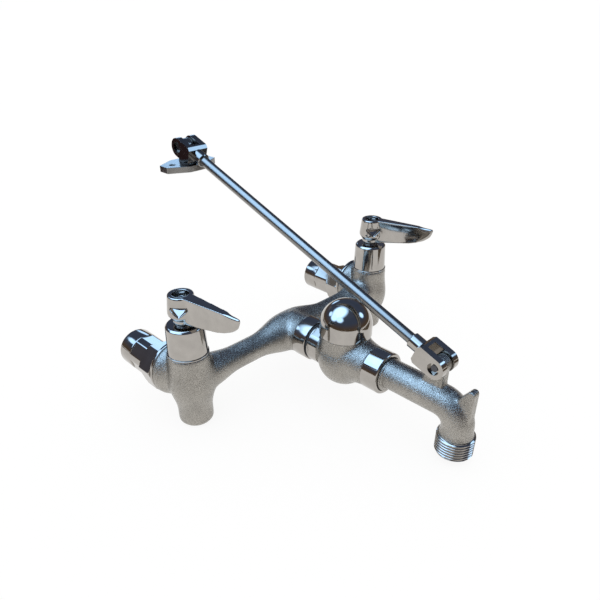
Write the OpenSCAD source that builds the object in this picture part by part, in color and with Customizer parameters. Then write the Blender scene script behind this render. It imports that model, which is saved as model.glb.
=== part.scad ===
// Wall-mounted service sink faucet: two lever valves on a cast yoke, a vacuum breaker,
// a hose-threaded spout and a wall brace.
// Frame: +X to the right when facing the wall, +Y into the wall, +Z up. The origin is in the
// wall plane, midway between the valves, at the height of the valve inlets.

/* [Layout] */
// Distance between the two valve axes
valve_spacing = 203.2; // [196:0.2:212]
// From the wall ends of the inlets to the valve axes
valve_reach = 66.8; // [62:0.2:74]
// From the valve axes to the front face of the yoke outlet
outlet_reach = 31.2; // [30:0.2:36]
// From the yoke outlet to the vacuum breaker axis
breaker_offset = 28.4; // [27:0.2:32]
// From the vacuum breaker axis to the front of the spout nut
nut_offset = 42.2; // [40:0.2:48]
// From the front of the spout nut to the hose outlet axis
spout_offset = 59.8; // [54:0.2:70]

/* [Valve bodies] */
// Diameter of the valve barrels
barrel_d = 30.4; // [29.4:0.2:33]
// Height of the bonnet seats over the inlet axis
barrel_rise = 22; // [21:0.5:26]
// Diameter of the swelling of the barrels, at the height of the arms
belly_d = 34.2; // [31.2:0.2:36]
// Diameter of the stop barrels under the valves
stop_d = 26.2; // [24.6:0.2:28]
// Depth of the stop barrels under the inlet axis
stop_drop = 37.5; // [36:0.5:44]
// Diameter of the inlet flanges of the valve bodies
boss_d = 42.2; // [39:0.2:46]
// From the valve axes to the faces of the inlet flanges
boss_reach = 19.3; // [18.5:0.1:24]

/* [Yoke] */
// Diameter of the arms at their narrowest
arm_d = 19.5; // [18:0.5:24]
// Depth of the arms under the inlet axis
arm_drop = 1.7; // [0:0.1:2]
// Diameter of the elbow where the arms meet
elbow_d = 32.4; // [29:0.2:34]
// Diameter of the turned ring at the yoke outlet
ring_d = 33.6; // [32.8:0.2:38]
// Length of the turned ring at the yoke outlet
ring_w = 13; // [9:0.5:15]

/* [Bonnets] */
// Diameter of the bonnets at the base
bonnet_d = 28.8; // [27.2:0.2:29.2]
// Diameter of the bonnets at the top
bonnet_top_d = 27; // [26:0.2:28]
// Height of the bonnets
bonnet_h = 22.4; // [20:0.2:26]
// Thickness of the rings under the bonnets
bonnet_ring_t = 1.2; // [0.8:0.1:2]

/* [Handles] */
// Diameter of the handle hubs at the top
hub_d = 18; // [16:0.2:20]
// Diameter of the handle hubs at the skirt
hub_skirt_d = 20.8; // [18.4:0.2:22]
// Height of the handle hubs
hub_h = 20.6; // [18:0.2:24]
// Gap between bonnet and hub
hub_gap = 2.3; // [1:0.1:4]
// From the valve axis to the tip of the lever
lever_len = 57; // [50:0.5:70]
// Width of the lever at the hub
lever_root_w = 9.6; // [8.4:0.2:14]
// Width of the lever at the tip
lever_tip_w = 3.6; // [3.2:0.2:8]
// Angle of the left lever from straight out, towards the right
left_lever_deg = 5.2; // [0:0.1:20]
// Angle of the right lever from straight out, towards the right
right_lever_deg = 15; // [0:0.5:20]

/* [Inlets] */
// Diameter of the round collars
collar_d = 29.4; // [28:0.2:32]
// Radius of the female pipe threads
pipe_thread_r = 9.9; // [9.5:0.1:10.3]
// Depth of the female pipe threads
pipe_thread_len = 15; // [13:0.5:18]
// Offset of the collars from the valve inlet axes
inlet_offset = 5; // [3:0.1:5.4]
// Direction of the left offset, from +X towards +Z
left_offset_deg = 185; // [0:1:359]
// Direction of the right offset, from +X towards +Z
right_offset_deg = 225; // [0:1:359]
// Width across the flats of the hexagons
inlet_hex_af = 31.4; // [30:0.2:34]

/* [Vacuum breaker] */
// Diameter of the round bulb
bulb_d = 43; // [41:0.5:48]
// Diameter of the cap
cap_d = 40; // [39:0.2:44]
// Height of the straight side of the cap
cap_side_h = 9.4; // [8.4:0.2:12]
// Height of the dome of the cap
cap_dome_h = 17.8; // [12:0.2:20]
// Height of the underside of the cap over the inlet axis
cap_base = 19.6; // [19:0.2:24]
// Travel of the float
float_travel = 4; // [3:0.1:4.4]

/* [Spout] */
// Outer diameter of the spout
spout_d = 22.4; // [21.6:0.2:24]
// Radius of the bend of the spout, at its middle
bend_r = 15; // [14:0.5:22]
// Height of the spout nut over the inlet axis
nut_rise = 1.6; // [0:0.1:2]
// Depth of the hose outlet under the inlet axis
outlet_drop = 33; // [31:0.5:44]
// Outer radius of the hose thread
hose_thread_r = 13.45; // [13.3:0.05:13.6]
// Pitch of the hose thread
hose_pitch = 2.209; // [2:0.001:2.4]
// Crests of the hose thread
hose_crests = 7; // [5:1:8]
// Diameter of the spout nut
nut_d = 32.2; // [31.6:0.2:36]
// Length of the spout nut
nut_len = 14.6; // [14:0.2:16]

/* [Wall brace] */
// From the spout nut to the lower pin
pin_offset = 40.2; // [34:0.1:44]
// Height of the lower pin over the inlet axis
pin_rise = 30; // [29:0.1:34]
// Distance between the two pins
brace_len = 284.8; // [240:0.2:320]
// Angle of the rod over the horizontal
brace_deg = 20; // [17:0.5:45]
// Diameter of the rod
rod_d = 8; // [7:0.1:8.4]
// Diameter of the pins
pin_d = 5; // [4:0.1:5.6]
// Width of the clevises
clevis_w = 18.8; // [17:0.2:22]
// Depth of the clevises
clevis_h = 15.2; // [14:0.2:16]
// From the pin to the rod end of the clevis
clevis_len = 16.6; // [16:0.2:22]
// Thickness of the lugs in the clevises
lug_t = 7.8; // [6:0.2:8.4]

/* [Wall bracket] */
// Length of the plate
plate_len = 50; // [46:1:70]
// Width of the plate at the middle
plate_w = 30; // [26:0.5:34]
// Width of the plate at the ends
plate_end_w = 11; // [10:0.5:16]
// Thickness of the plate
plate_t = 5; // [4:0.1:7]
// From the pin to the front of the plate
plate_standoff = 13.2; // [12.8:0.1:18]
// Distance between the screw holes
screw_spacing = 32; // [30:1:44]
// Radius of the screw holes
screw_r = 2.6; // [2:0.1:3]

/* [Hidden] */
$fn = 64;

// Clearances and overruns
over = 1;
run_gap = 0.05;
screw_gap = 0.1;
free_gap = 0.35;

// Colours
cast_chrome = [0.62, 0.62, 0.60];
bright_chrome = [0.80, 0.81, 0.83];
brass_tone = [0.80, 0.62, 0.30];
rubber_black = [0.05, 0.05, 0.05];
steel_tone = [0.58, 0.59, 0.61];
plastic_white = [0.86, 0.86, 0.84];

// Places along the centre line
valve_x = valve_spacing / 2;
valve_y = -valve_reach;
ring_y = valve_y - outlet_reach;
breaker_y = ring_y - breaker_offset;
nut_y = breaker_y - nut_offset;
outlet_y = nut_y - spout_offset;
lower_pin_y = nut_y - pin_offset;
upper_pin_y = lower_pin_y + brace_len * cos(brace_deg);
upper_pin_z = pin_rise + brace_len * sin(brace_deg);

// Valve body
barrel_r = barrel_d / 2;
stop_r = stop_d / 2;
stop_chamfer = 2.4;
belly_r = belly_d / 2;
belly_top = 16;
belly_z = 4;
belly_bottom = 26;
rim_h = 1.6;
rim_r = barrel_r - 0.5;
boss_r = boss_d / 2;
boss_root_r = 13.6;
boss_lip = 2;
boss_flare = 0.62;
bonnet_thread_r = 12.6;
bonnet_thread_len = 8;
cartridge_r = 10.3;
cartridge_seat = 11.5;
port_r = 4;
side_port_r = 1.9;
side_port_x = 8.2;
spigot_r = 10;
spigot_len = 10.6;
stop_bore_r = 8;
stop_seat_z = -16;
stop_seat_rise = 2;
inlet_port_r = 2.2;
inlet_port_y = 8;
blind_inlet_y = 5.4;
arm_bore_r = 5.6;
arm_bore_end = 6.6;
clip_t = 1.2;
clip_r = 10.9;
clip_inner_r = 9.2;
clip_inset = 2.4;

// Yoke
arm_r = arm_d / 2;
elbow_r = elbow_d / 2;
ring_r = ring_d / 2;
ring_chamfer = 0.8;
arm_root_r = 13.4;
elbow_flat_share = 0.04;
elbow_share = 0.4;
root_share = 0.6;
root_end_share = 0.88;
outlet_thread_r = 13;
outlet_thread_len = 9;
outlet_bore_r = 8;
gasket_t = 1.7;
gasket_r = 15.8;

// Bonnet
bonnet_r = bonnet_d / 2;
bonnet_top_r = bonnet_top_d / 2;
bonnet_chamfer = 1.4;
bonnet_roof_t = 7;
bonnet_seat_z = barrel_rise + bonnet_ring_t;
bonnet_top_z = bonnet_seat_z + bonnet_h;
bonnet_ring_r = barrel_r - 0.2;
neck_r = 6.4;
neck_rise = 0.8;
spindle_r = 3.5;
spindle_foot = 9;
spline_r = 3.3;

// Handle
hub_r = hub_d / 2;
hub_z = bonnet_top_z + hub_gap;
hub_top_z = hub_z + hub_h;
hub_waist_r = 7.7;
hub_waist_h = 3.6;
hub_skirt_r = hub_skirt_d / 2;
hub_skirt_h = 6.4;
hub_skirt_round = 1.6;
recess_r = 5.6;
recess_d = 5.4;
spindle_top_inset = 1.2;
lever_low_root = 1;
lever_mid_share = 0.64;
lever_mid_low = 4.8;
lever_belly_share = 0.86;
lever_belly_low = 8.2;
lever_nose_share = 0.96;
lever_nose_low = 12.6;
lever_edge_t = 1.2;
scoop_r = 60;
scoop_depth = 0.7;
pocket_w = 12.5;
pocket_h = 6.4;
pocket_d = 1.8;
pocket_z = 10.6;
pocket_deg = 55;
screw_head_r = 4.2;
screw_head_h = 2.6;
screw_shank_r = 1.9;
screw_shank_len = 8;
screw_slot_w = 1.1;
screw_slot_d = 1.1;

// Inlet
collar_r = collar_d / 2;
collar_len = 14;
flats_len = 17;
flats_af = 27.6;
flange_t = 2.6;
hex_turn_deg = 17.8;
inlet_passage_r = 7;
seal_section_r = 1.05;
seal_r = 9;
seal_groove_w = 2.8;
seal_groove_r = 7.95;
seal_inset = 5.6;
bore_chamfer = 0.8;

// Stops
stop_screw_r = stop_bore_r - screw_gap;
stop_screw_len = 9;
stop_recess = 1.4;
stop_slot_w = 1.8;
stop_slot_d = 2.2;
stop_stem_r = 2.5;
stop_washer_r = 6.2;
stop_washer_t = 2.4;
stop_travel = 3;

// Vacuum breaker
bulb_r = bulb_d / 2;
bulb_z = -2.2;
bulb_y = -0.8;
breaker_neck_r = 15.7;
breaker_neck_af = 30.2;
breaker_lip_t = 1.4;
breaker_neck_len = 10;
breaker_spigot_r = outlet_thread_r - screw_gap;
breaker_spigot_len = 8;
saddle_r = 14.6;
column_r = 18.9;
cap_rim_r = 16.5;
cap_rim_h = 5.2;
chamber_r = 13.8;
lower_chamber_z = -17;
web_z = -2.2;
web_t = 3.4;
web_port_r = 5.6;
breaker_bore_r = 6.2;
bore_drop = 8.6;
bore_reach = 9;
air_seat_t = 3;
air_port_r = 5.8;
float_r = 8.6;
float_seal_r = 8;
float_seal_t = 1.6;
float_t = 5;
float_stem_r = 2;
float_stem_h = 11;
float_gap = 1.6;
float_z = web_z + web_t + float_seal_t;
air_seat_z = float_z + float_t + float_travel + float_gap;
cap_r = cap_d / 2;
cap_lip = 0.5;
cap_edge_z = cap_base + cap_side_h;

// Spout nut
nut_r = nut_d / 2;
nut_bore_r = 14.6;
nut_lip_t = 2;
nut_lip_r = 13.4;
nut_chamfer = 0.8;
outlet_neck_r = nut_bore_r - screw_gap;
outlet_sleeve_r = nut_r - 0.2;
outlet_root_r = 18.6;
outlet_root_y = 10;
washer_t = 2;
washer_r = 14;

// Spout
spout_r = spout_d / 2;
spout_bore_r = 8;
spout_flange_r = 14.2;
spout_flange_t = 3;
outlet_neck_len = nut_len - nut_lip_t - washer_t - spout_flange_t;
spout_step_r = 12.9;
spout_step_len = 1.4;
spout_rise = 3.2;
thread_root_r = hose_thread_r - 1.25;
thread_crest_w = 0.75;
thread_len = hose_crests * hose_pitch;
thread_z = -outlet_drop;
thread_collar_w = 1.4;
lug_r = 6.6;
lug_back = 11;
lug_sink = 0.8;
lug_front = 5.4;
hook_t = 7;
hook_back = 1;
hook_front = 9.1;
hook_top = 21.4;
hook_tip_r = 2.6;
hook_low = -3;
hook_root_r = 6;

// Brace
rod_r = rod_d / 2;
pin_r = pin_d / 2;
slot_side = 0.4;
slot_w = lug_t + 2 * slot_side;
slot_depth = 12;
clevis_eye_r = clevis_h / 2;
sleeve_r = 5.6;
sleeve_len = 9;
sleeve_chamfer = 0.6;
clevis_corner = 2.2;
rod_insert = 12;
head_r = 4.4;
head_recess = 2.6;
head_out_r = 5.4;
head_out_t = 2.6;
stub_out = 1.2;

// Wall bracket
bracket_eye_r = 6.2;
bracket_web_w = 16;

function ease(t) = (1 - cos(180 * t)) / 2;
// Points [radius, place] of a smooth change of radius
function flare(r_a, r_b, from, to, steps = 8) =
    [for (i = [0 : steps]) let (t = i / steps) [r_a + (r_b - r_a) * ease(t), from + (to - from) * t]];

// Turns a shape that is drawn along +Z so that it runs into the wall
module into_wall() { rotate([-90, 0, 0]) children(); }
// Turns a shape that is drawn along +Z so that it runs out into the room
module into_room() { rotate([90, 0, 0]) children(); }
// Turns a shape that is drawn along +Z so that it runs to the right
module to_right() { rotate([0, 90, 0]) children(); }
// Turns a profile with its length along X and its height along Y so that it stands along the
// room, centred on the middle plane
module side_profile(t) { rotate([90, 0, 90]) translate([0, 0, -t / 2]) linear_extrude(t) children(); }
module at_valve(side) { translate([side * valve_x, valve_y, 0]) children(); }
module hexagon(af, h) { cylinder(r = af / 2 / cos(30), h = h, $fn = 6); }
module ring_solid(r_out, r_in, h) {
    difference() {
        cylinder(r = r_out, h = h);
        translate([0, 0, -over]) cylinder(r = r_in, h = h + 2 * over);
    }
}

// Cast yoke
module barrel_shape() {
    rotate_extrude() polygon(concat(
        [[0, -stop_drop], [stop_r - stop_chamfer, -stop_drop], [stop_r, -stop_drop + stop_chamfer]],
        flare(stop_r, belly_r, -belly_bottom, -belly_z),
        flare(belly_r, barrel_r, -belly_z, belly_top),
        [[barrel_r, barrel_rise - rim_h], [rim_r, barrel_rise - rim_h],
         [rim_r, barrel_rise], [0, barrel_rise]]
    ));
}

module boss_shape() {
    into_wall() rotate_extrude() polygon(concat(
        [[0, 0]],
        flare(boss_root_r, boss_r, boss_reach * (1 - boss_flare) - boss_lip, boss_reach - boss_lip),
        [[boss_r, boss_reach], [0, boss_reach]]
    ));
}

module arm_shape() {
    root_x = valve_x * root_end_share;
    translate([0, 0, -arm_drop]) to_right() rotate_extrude() polygon(concat(
        [[0, 0], [elbow_r, 0]],
        flare(elbow_r, arm_r, valve_x * elbow_flat_share, valve_x * elbow_share, 10),
        flare(arm_r, arm_root_r, valve_x * root_share, root_x, 6),
        [[arm_root_r, valve_x], [0, valve_x]]
    ));
}

module outlet_shape() {
    reach = outlet_reach - ring_w;
    into_room() rotate_extrude() polygon([
        [0, 0], [elbow_r - ring_chamfer, 0], [elbow_r, reach],
        [ring_r - ring_chamfer, reach], [ring_r, reach + ring_chamfer],
        [ring_r, outlet_reach - ring_chamfer], [ring_r - ring_chamfer, outlet_reach], [0, outlet_reach]
    ]);
}

module valve_cuts(side) {
    inward = -side;
    translate([0, 0, barrel_rise - bonnet_thread_len])
        cylinder(r = bonnet_thread_r + screw_gap, h = barrel_rise);
    translate([0, 0, cartridge_seat]) cylinder(r = cartridge_r + screw_gap, h = barrel_rise);
    translate([0, 0, stop_seat_z]) cylinder(r = port_r, h = cartridge_seat - stop_seat_z + over);
    translate([0, 0, -stop_drop - over])
        cylinder(r = stop_bore_r, h = stop_drop + over + stop_seat_z - stop_seat_rise);
    translate([0, boss_reach - spigot_len, 0])
        into_wall() cylinder(r = spigot_r + run_gap, h = spigot_len + over);
    translate([0, blind_inlet_y, 0])
        into_wall() cylinder(r = inlet_port_r * 2, h = boss_reach - blind_inlet_y);
    translate([0, inlet_port_y, stop_seat_z - 2 * stop_seat_rise])
        cylinder(r = inlet_port_r, h = -stop_seat_z + 2 * stop_seat_rise);
    translate([0, boss_reach - clip_inset - clip_t - screw_gap, 0])
        into_wall() cylinder(r = clip_r + screw_gap, h = clip_t + 2 * screw_gap);
    translate([inward * side_port_x, 0, 0]) cylinder(r = side_port_r, h = cartridge_seat + over);
}

module yoke_body() {
    color(cast_chrome) difference() {
        union() {
            for (side = [-1, 1]) {
                at_valve(side) { barrel_shape(); boss_shape(); }
            }
            translate([0, valve_y, 0]) {
                arm_shape();
                mirror([1, 0, 0]) arm_shape();
                outlet_shape();
            }
        }
        for (side = [-1, 1]) at_valve(side) valve_cuts(side);
        translate([-valve_x + arm_bore_end, valve_y, -arm_drop])
            to_right() cylinder(r = arm_bore_r, h = 2 * (valve_x - arm_bore_end));
        translate([0, valve_y, 0]) into_room() cylinder(r = outlet_bore_r, h = outlet_reach + over);
        translate([0, ring_y + outlet_thread_len, 0])
            into_room() cylinder(r = outlet_thread_r, h = outlet_thread_len + over);
    }
}

module yoke_gasket() {
    color(rubber_black) translate([0, ring_y, 0])
        into_room() ring_solid(gasket_r, outlet_thread_r, gasket_t);
}

// Valve trim
module bonnet(side) {
    color(bright_chrome) at_valve(side) difference() {
        union() {
            translate([0, 0, bonnet_seat_z]) rotate_extrude() polygon([
                [0, 0], [bonnet_r, 0], [bonnet_top_r, bonnet_h - bonnet_chamfer],
                [bonnet_top_r - bonnet_chamfer, bonnet_h], [0, bonnet_h]
            ]);
            translate([0, 0, bonnet_seat_z - bonnet_thread_len])
                cylinder(r = bonnet_thread_r, h = bonnet_thread_len + over);
        }
        translate([0, 0, bonnet_seat_z - bonnet_thread_len - over])
            cylinder(r = cartridge_r + screw_gap, h = bonnet_thread_len + bonnet_h - bonnet_roof_t + over);
        translate([0, 0, bonnet_top_z - bonnet_roof_t - over])
            cylinder(r = neck_r + screw_gap, h = bonnet_roof_t + 2 * over);
    }
}

module bonnet_ring(side) {
    color(bright_chrome) at_valve(side) translate([0, 0, barrel_rise])
        ring_solid(bonnet_ring_r, bonnet_thread_r + screw_gap, bonnet_ring_t);
}

module cartridge(side) {
    body_h = bonnet_top_z - bonnet_roof_t - cartridge_seat;
    color(brass_tone) at_valve(side) translate([0, 0, cartridge_seat]) difference() {
        union() {
            cylinder(r = cartridge_r, h = body_h);
            cylinder(r = neck_r, h = body_h + bonnet_roof_t + neck_rise);
        }
        translate([0, 0, spindle_foot]) cylinder(r = spindle_r + run_gap, h = body_h + bonnet_roof_t);
        translate([0, 0, -over]) cylinder(r = port_r, h = spindle_foot / 2 + over);
        translate([-side * side_port_x, 0, -over]) cylinder(r = side_port_r, h = spindle_foot / 2 + over);
    }
}

module spindle(side) {
    foot_z = cartridge_seat + spindle_foot + free_gap;
    head_z = hub_top_z - recess_d - spindle_top_inset;
    color(brass_tone) at_valve(side) difference() {
        union() {
            translate([0, 0, foot_z]) cylinder(r = spindle_r, h = hub_z - foot_z);
            translate([0, 0, hub_z]) cylinder(r = spline_r, h = head_z - hub_z);
        }
        translate([0, 0, head_z - screw_shank_len])
            cylinder(r = screw_shank_r + run_gap, h = screw_shank_len + over);
    }
}

// Lever seen from above, its length along X
module lever_plan() {
    polygon([
        [0, lever_root_w / 2], [hub_r, lever_root_w / 2],
        [lever_len - lever_edge_t, lever_tip_w / 2], [lever_len, lever_tip_w / 2 - lever_edge_t],
        [lever_len, -lever_tip_w / 2 + lever_edge_t], [lever_len - lever_edge_t, -lever_tip_w / 2],
        [hub_r, -lever_root_w / 2], [0, -lever_root_w / 2]
    ]);
}

// Lever seen from the side, its length along X and its height along Y, from the hub's underside
module lever_side() {
    polygon([
        [0, hub_h], [0, lever_low_root], [hub_r, lever_low_root],
        [lever_len * lever_mid_share, lever_mid_low], [lever_len * lever_belly_share, lever_belly_low],
        [lever_len * lever_nose_share, lever_nose_low],
        [lever_len, hub_h - lever_edge_t], [lever_len - lever_edge_t / 2, hub_h]
    ]);
}

module lever_shape() {
    scoop_z = (hub_h + lever_mid_low) / 2;
    mid_w = (lever_root_w + lever_tip_w) / 2;
    taper_deg = atan((lever_root_w - lever_tip_w) / 2 / (lever_len - hub_r));
    difference() {
        intersection() {
            linear_extrude(hub_h) lever_plan();
            rotate([90, 0, 0]) translate([0, 0, -lever_root_w]) linear_extrude(2 * lever_root_w) lever_side();
        }
        for (side = [-1, 1])
            translate([(lever_len + hub_r) / 2, side * mid_w / 2, scoop_z])
                rotate([0, 0, -side * taper_deg])
                    translate([-lever_len, side * (scoop_r - scoop_depth), 0])
                        to_right() cylinder(r = scoop_r, h = 2 * lever_len, $fn = 128);
    }
}

module hub_shape() {
    rotate_extrude() polygon([
        [0, 0], [hub_waist_r, 0], [hub_waist_r, hub_waist_h], [hub_skirt_r - hub_skirt_round, hub_waist_h],
        [hub_skirt_r, hub_skirt_h], [hub_skirt_r, hub_skirt_h + hub_skirt_round],
        [hub_r, hub_h - lever_edge_t / 2], [hub_r - lever_edge_t / 2, hub_h], [0, hub_h]
    ]);
}

module handle(side, lever_deg) {
    color(bright_chrome) at_valve(side) translate([0, 0, hub_z])
        rotate([0, 0, lever_deg - 90]) difference() {
        union() { hub_shape(); lever_shape(); }
        translate([0, 0, hub_h - recess_d]) cylinder(r = recess_r, h = recess_d + over);
        translate([0, 0, -over]) cylinder(r = spline_r + run_gap, h = hub_h);
        rotate([0, 0, -pocket_deg]) translate([hub_skirt_r - pocket_d, 0, pocket_z])
            rotate([0, 90, 0]) diamond();
    }
}

// Diamond-shaped pocket on the side of the hub
module diamond() {
    linear_extrude(2 * pocket_d) polygon([
        [-pocket_h / 2, -pocket_w / 4], [-pocket_h / 2, pocket_w / 4], [-pocket_h / 4, pocket_w / 2],
        [pocket_h / 2, 0], [-pocket_h / 4, -pocket_w / 2]
    ]);
}

module handle_screw(side) {
    head_z = hub_top_z - recess_d;
    color(steel_tone) at_valve(side) translate([0, 0, head_z]) difference() {
        union() {
            cylinder(r = screw_head_r, h = screw_head_h);
            translate([0, 0, -screw_shank_len]) cylinder(r = screw_shank_r, h = screw_shank_len + over);
        }
        translate([-screw_head_r - over, -screw_slot_w / 2, screw_head_h - screw_slot_d])
            cube([2 * (screw_head_r + over), screw_slot_w, screw_slot_d + over]);
    }
}

// Eccentric inlets, drawn from the flange towards the wall
module inlet(side, offset_deg) {
    hex_y = flange_t;
    body_len = valve_reach - boss_reach - run_gap;
    flats_y = body_len - collar_len - flats_len;
    collar_y = body_len - collar_len;
    color(bright_chrome) at_valve(side) translate([0, boss_reach + run_gap, 0]) difference() {
        union() {
            into_wall() cylinder(r = boss_r + free_gap, h = flange_t);
            into_room() cylinder(r = spigot_r, h = spigot_len - free_gap);
            shift_inlet(offset_deg) {
                translate([0, hex_y - over, 0]) hex_along(flats_y - hex_y + over, inlet_hex_af);
                intersection() {
                    translate([0, flats_y - over, 0])
                        into_wall() cylinder(r = collar_r, h = flats_len + over);
                    translate([0, flats_y - over, 0]) hex_along(flats_len + over, flats_af);
                }
                translate([0, collar_y, 0]) into_wall() rotate_extrude() polygon([
                    [0, 0], [collar_r, 0], [collar_r, collar_len - bore_chamfer],
                    [collar_r - bore_chamfer, collar_len], [0, collar_len]
                ]);
            }
        }
        shift_inlet(offset_deg) {
            translate([0, body_len - pipe_thread_len, 0])
                into_wall() cylinder(r = pipe_thread_r, h = pipe_thread_len + over);
            translate([0, hex_y, 0]) into_wall() cylinder(r = inlet_passage_r, h = body_len);
        }
        translate([0, -spigot_len - over, 0])
            into_wall() cylinder(r = inlet_passage_r, h = spigot_len + flange_t + over + inlet_offset);
        translate([0, -seal_inset - seal_groove_w / 2, 0])
            into_wall() ring_solid(spigot_r + over, seal_groove_r, seal_groove_w);
        translate([0, -clip_inset - clip_t - free_gap, 0])
            into_wall() ring_solid(spigot_r + over, clip_inner_r - free_gap, clip_t + 2 * free_gap);
    }
}

module shift_inlet(offset_deg) {
    translate([inlet_offset * cos(offset_deg), 0, inlet_offset * sin(offset_deg)]) children();
}

module hex_along(len, af) {
    into_wall() rotate([0, 0, -hex_turn_deg - 30]) hexagon(af, len);
}

module inlet_seal(side) {
    color(rubber_black) at_valve(side) translate([0, boss_reach - seal_inset, 0])
        into_wall() rotate_extrude() translate([seal_r, 0]) circle(r = seal_section_r - run_gap);
}

module inlet_clip(side) {
    color(steel_tone) at_valve(side) translate([0, boss_reach - clip_inset - clip_t, 0])
        into_wall() ring_solid(clip_r, clip_inner_r, clip_t);
}

// Stop valves, under the inlets
stop_screw_z = -stop_drop + stop_recess;
stop_washer_z = stop_seat_z - stop_seat_rise - stop_travel - stop_washer_t - free_gap;

module stop_screw(side) {
    color(steel_tone) at_valve(side) difference() {
        union() {
            translate([0, 0, stop_screw_z]) cylinder(r = stop_screw_r, h = stop_screw_len);
            translate([0, 0, stop_screw_z]) cylinder(r = stop_stem_r, h = stop_washer_z - stop_screw_z);
        }
        translate([-stop_screw_r - over, -stop_slot_w / 2, stop_screw_z - over])
            cube([2 * (stop_screw_r + over), stop_slot_w, stop_slot_d + over]);
    }
}

module stop_washer(side) {
    color(rubber_black) at_valve(side) translate([0, 0, stop_washer_z])
        cylinder(r = stop_washer_r, h = stop_washer_t);
}

// Vacuum breaker
module breaker_body() {
    neck_y = breaker_offset - gasket_t;
    color(cast_chrome) translate([0, breaker_y, 0]) difference() {
        union() {
            translate([0, bulb_y, bulb_z]) sphere(r = bulb_r);
            cylinder(r = column_r, h = cap_base);
            translate([0, 0, cap_base - over]) cylinder(r = cap_rim_r, h = cap_rim_h + over);
            translate([0, neck_y - breaker_lip_t, 0])
                into_wall() cylinder(r = breaker_neck_r, h = breaker_lip_t);
            translate([0, neck_y - breaker_neck_len, 0]) hex_flats(breaker_neck_len);
            into_wall() cylinder(r = saddle_r, h = neck_y - breaker_neck_len + over);
            translate([0, neck_y - over, 0])
                into_wall() cylinder(r = breaker_spigot_r, h = breaker_spigot_len + over);
            translate([0, 0, nut_rise]) outlet_sleeve();
            translate([0, 0, nut_rise])
                into_room() cylinder(r = outlet_neck_r, h = nut_offset - nut_len + outlet_neck_len);
        }
        translate([0, 0, lower_chamber_z]) cylinder(r = chamber_r, h = web_z - lower_chamber_z);
        translate([0, 0, web_z + web_t]) cylinder(r = chamber_r, h = cap_base + cap_rim_h);
        cylinder(r = web_port_r, h = 4 * web_t, center = true);
        breaker_bore(1, neck_y + breaker_spigot_len, -1);
        translate([0, 0, nut_rise]) breaker_bore(-1, nut_offset - nut_len + outlet_neck_len, 1);
    }
}

module outlet_sleeve() {
    into_room() rotate_extrude() polygon(concat(
        [[0, 0]],
        flare(outlet_root_r, outlet_sleeve_r, outlet_root_y, nut_offset - nut_len, 6),
        [[0, nut_offset - nut_len]]
    ));
}

module hex_flats(len) {
    intersection() {
        into_wall() cylinder(r = breaker_neck_r, h = len);
        into_wall() rotate([0, 0, 30]) hexagon(breaker_neck_af, len);
    }
}

// Slanting water way from a neck (way 1 to the wall, -1 to the room) down or up to a chamber
module breaker_bore(way, start, lift) {
    run = start - bore_reach;
    slope_deg = atan(bore_drop / run);
    translate([0, way * start, 0]) rotate([way * lift * slope_deg * -1, 0, 0])
        rotate([way * 90, 0, 0]) translate([0, 0, -over * 2])
            cylinder(r = breaker_bore_r, h = run / cos(slope_deg) + over);
}

module breaker_cap() {
    dome_r = (cap_r * cap_r + cap_dome_h * cap_dome_h) / (2 * cap_dome_h);
    inner_r = cap_rim_r + screw_gap;
    color(bright_chrome) translate([0, breaker_y, 0]) difference() {
        union() {
            translate([0, 0, cap_base + cap_lip]) cylinder(r = cap_r, h = cap_side_h - cap_lip);
            translate([0, 0, cap_edge_z]) intersection() {
                translate([0, 0, cap_dome_h - dome_r]) sphere(r = dome_r, $fn = 128);
                cylinder(r = cap_r, h = cap_dome_h + over);
            }
        }
        translate([0, 0, cap_base - over]) cylinder(r = inner_r, h = cap_rim_h + over);
        translate([0, 0, cap_base]) cylinder(r = chamber_r, h = cap_side_h + cap_dome_h / 4);
    }
}

module breaker_air_seat() {
    color(brass_tone) translate([0, breaker_y, air_seat_z])
        ring_solid(chamber_r - run_gap, air_port_r, air_seat_t);
}

module breaker_float_seal() {
    color(rubber_black) translate([0, breaker_y, web_z + web_t])
        ring_solid(float_seal_r, float_stem_r + run_gap, float_seal_t);
}

module breaker_float() {
    color(plastic_white) translate([0, breaker_y, float_z]) {
        cylinder(r = float_r, h = float_t);
        translate([0, 0, -float_seal_t]) cylinder(r = float_stem_r, h = float_stem_h + float_seal_t);
    }
}

// Spout nut and washer
module spout_nut() {
    color(bright_chrome) translate([0, nut_y + nut_len, nut_rise]) into_room() difference() {
        rotate_extrude() polygon([
            [0, 0], [nut_r - nut_chamfer, 0], [nut_r, nut_chamfer], [nut_r, nut_len - nut_chamfer],
            [nut_r - nut_chamfer, nut_len], [0, nut_len]
        ]);
        translate([0, 0, -over]) cylinder(r = nut_bore_r, h = nut_len - nut_lip_t + over);
        translate([0, 0, -over]) cylinder(r = nut_lip_r, h = nut_len + 2 * over);
    }
}

washer_y = nut_y + nut_len - outlet_neck_len;
flange_y = washer_y - washer_t;

module spout_washer() {
    color(rubber_black) translate([0, washer_y, nut_rise])
        into_room() ring_solid(washer_r, spout_bore_r, washer_t);
}

// Spout
module lug_profile() {
    polygon([
        [lower_pin_y + lug_back, spout_rise], [lower_pin_y + lug_back, spout_rise + spout_r - lug_sink],
        [lower_pin_y + lug_r, pin_rise], [lower_pin_y - lug_front, pin_rise],
        [lower_pin_y - lug_front, spout_rise]
    ]);
}

module hook_profile() {
    front = outlet_y - hook_front + hook_tip_r;
    hull() {
        translate([front, hook_top - hook_tip_r]) circle(r = hook_tip_r);
        translate([front, hook_low]) circle(r = hook_tip_r);
        translate([outlet_y + hook_back, spout_rise + spout_r - hook_root_r]) circle(r = hook_tip_r);
    }
}

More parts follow.
